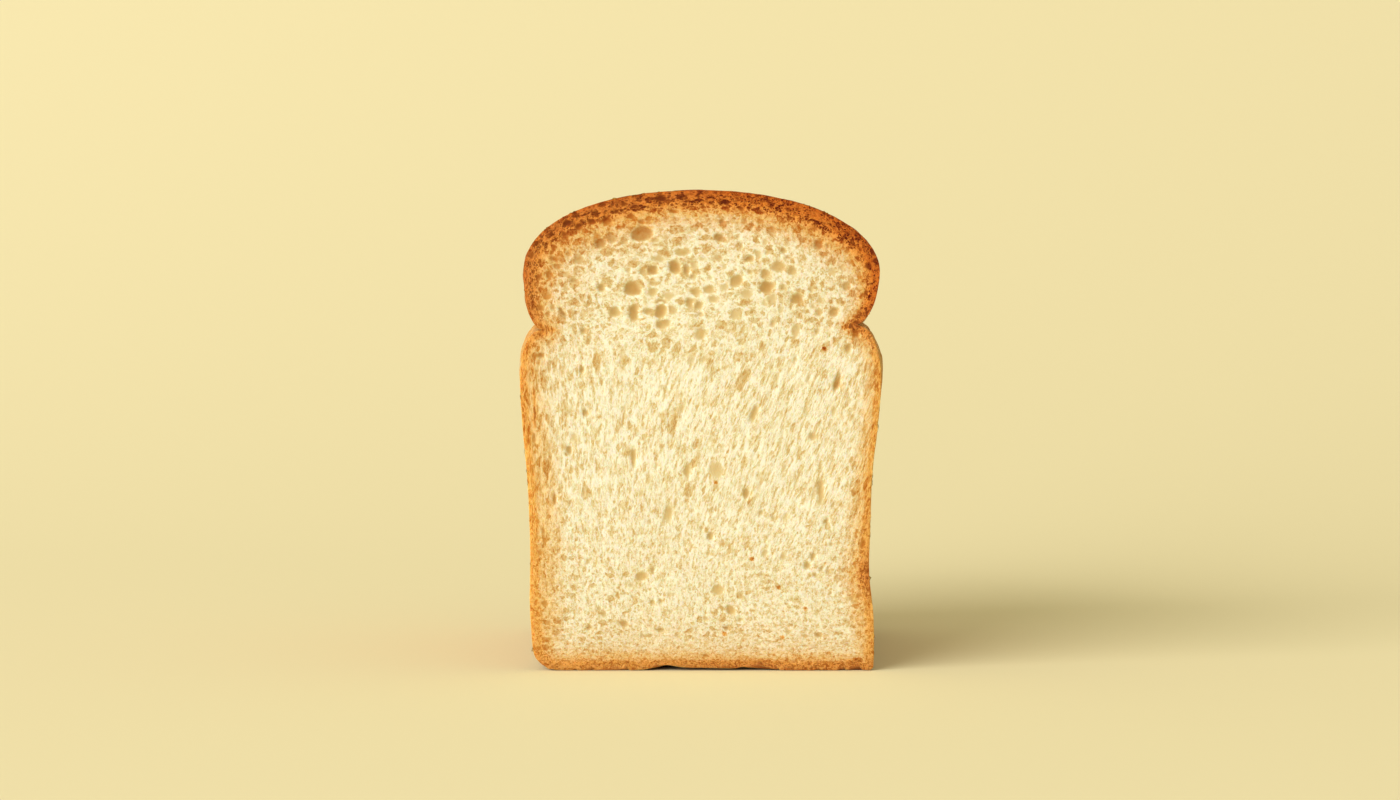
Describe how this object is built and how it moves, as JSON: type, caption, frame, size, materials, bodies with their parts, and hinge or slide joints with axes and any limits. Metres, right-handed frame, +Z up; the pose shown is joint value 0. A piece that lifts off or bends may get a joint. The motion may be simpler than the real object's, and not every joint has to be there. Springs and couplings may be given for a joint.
{
  "type": "tin loaf",
  "caption": "Open-top white tin loaf, cut straight across the middle and standing on its base crust, with a domed crown over a fold, straight walls and a baked heel.",
  "frame": {"origin": "centre of the loaf's footprint, on the surface its base crust stands on", "axes": "+Z up through the crown; +Y along the loaf, from the cut face to the heel; +X across the loaf, to the right when facing the cut"},
  "size_m": [0.1032, 0.1006, 0.1336],
  "materials": {
    "bread": "matte"
  },
  "bodies": {
    "root": {"loaf": "bread"}
  },
  "joints": []
}
